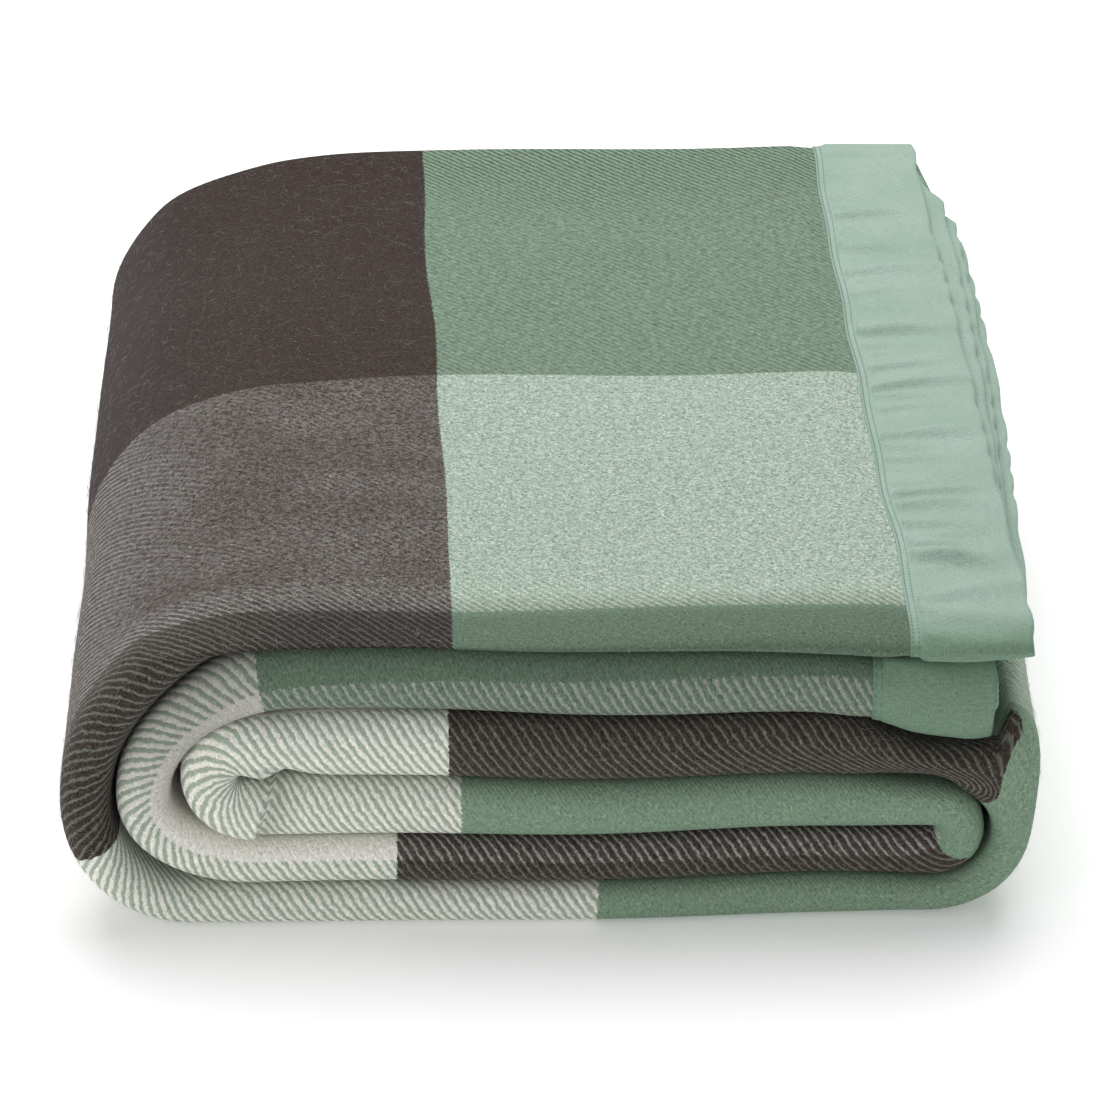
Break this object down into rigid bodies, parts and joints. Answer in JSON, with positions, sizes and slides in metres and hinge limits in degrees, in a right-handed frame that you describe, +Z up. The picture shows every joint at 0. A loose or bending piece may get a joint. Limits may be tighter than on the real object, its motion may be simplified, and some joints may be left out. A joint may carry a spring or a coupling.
{
  "type": "folded blanket",
  "caption": "Checked wool camp blanket with a bound edge at each end, folded lengthwise and laid back and forth into a flat-lying pack with rounded sides.",
  "frame": {"origin": "middle of the flat underside of the folded pack, at the centre of its width and depth", "axes": "+Z up from the underside; X runs along the folded strip, with both bound ends toward +X; the rounded front folds face -Y and the free edges face +Y"},
  "size_m": [0.431, 0.5852, 0.1426],
  "materials": {
    "wool": "brushed wool twill, matt, large check in three colours",
    "binding": "cotton sateen ribbon, soft low sheen, gathered",
    "thread": "spun sewing thread, matt"
  },
  "bodies": {
    "root": {"wool_cloth": "wool", "head_binding": "binding", "foot_binding": "binding", "head_needle_thread_row_1": "thread", "head_needle_thread_row_2": "thread", "head_bobbin_thread_row_1": "thread", "head_bobbin_thread_row_2": "thread", "foot_needle_thread_row_1": "thread", "foot_needle_thread_row_2": "thread", "foot_bobbin_thread_row_1": "thread", "foot_bobbin_thread_row_2": "thread"}
  },
  "joints": []
}
